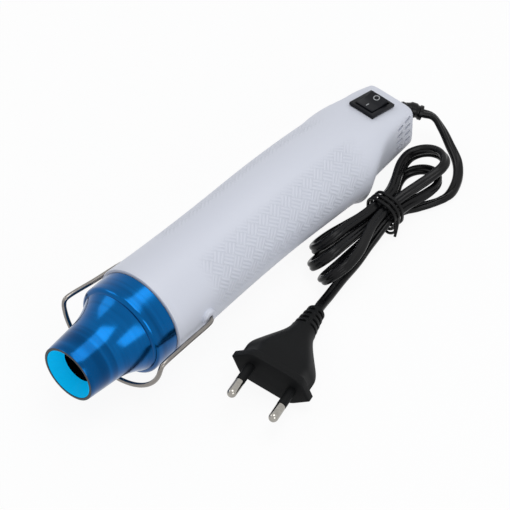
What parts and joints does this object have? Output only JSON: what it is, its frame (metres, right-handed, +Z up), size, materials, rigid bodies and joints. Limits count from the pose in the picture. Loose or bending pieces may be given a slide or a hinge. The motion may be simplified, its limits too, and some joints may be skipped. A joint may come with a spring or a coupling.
{
  "type": "hot air tool",
  "caption": "Slim mains heat gun with a white handle, blue flared nozzle, wire stand, rocker switch on the sloping tail, and a folded, tied mains lead ending in a flat two-pin plug.",
  "frame": {"origin": "on the floor under the middle of the tool's length, the tool lying on its belly", "axes": "+Y from the nozzle to the tail along the tool, +Z up, +X to the side where the tied lead lies"},
  "size_m": [0.0979, 0.2121, 0.0432],
  "materials": {
    "casing": "satin white moulding with a fine cross-hatched grip",
    "nozzle": "glossy clear blue lacquer over metal",
    "steel": "bright",
    "nickel": "nickel plated",
    "brass": "plain",
    "mica": "pressed mica sheet",
    "nylon": "natural moulding",
    "board": "coated board",
    "black_plastic": "satin black",
    "cord": "semi-matt black sheath",
    "wire_red": "insulated wire",
    "wire_blue": "insulated wire"
  },
  "bodies": {
    "body": {"upper_shell": "casing", "lower_shell": "casing", "case_screw_1": "steel", "case_screw_2": "steel", "case_screw_3": "steel", "case_screw_4": "steel", "nozzle": "nozzle", "heater_sleeve": "mica", "heater_holder": "mica", "heater_former": "mica", "heater_coil": "steel", "thermal_cutout": "steel", "motor_can": "steel", "motor_end_cap": "nylon", "motor_mount": "nylon", "rectifier_board": "board", "diode_1": "black_plastic", "diode_2": "black_plastic", "diode_3": "black_plastic", "diode_4": "black_plastic", "switch_housing": "black_plastic", "switch_terminal_1": "brass", "switch_terminal_2": "brass", "strain_relief": "cord", "lead_live": "wire_red", "lead_neutral": "wire_blue", "lead_switched": "wire_red", "cord_lead": "cord", "cord_hank": "cord", "cord_tail": "cord", "cord_tie": "cord", "plug_body": "black_plastic", "plug_pin_left": "nickel", "plug_pin_right": "nickel"},
    "stand": {"stand_bail": "steel"},
    "rocker": {"switch_rocker": "black_plastic"},
    "rotor": {"motor_shaft": "steel", "fan_impeller": "nylon"}
  },
  "joints": [
    {"name": "stand_swing", "type": "hinge", "parent": "body", "child": "stand", "pos_m": [0, -0.0395, 0.0218], "axis": [1, 0, 0], "range_deg": [-5, 108]},
    {"name": "switch_rock", "type": "hinge", "parent": "body", "child": "rocker", "pos_m": [0, 0.08455, 0.03125], "axis": [1, 0, 0], "range_deg": [-18, 0]},
    {"name": "fan_spin", "type": "hinge", "parent": "body", "child": "rotor", "pos_m": [0, 0, 0.0218], "axis": [0, 1, 0], "continuous": true}
  ]
}
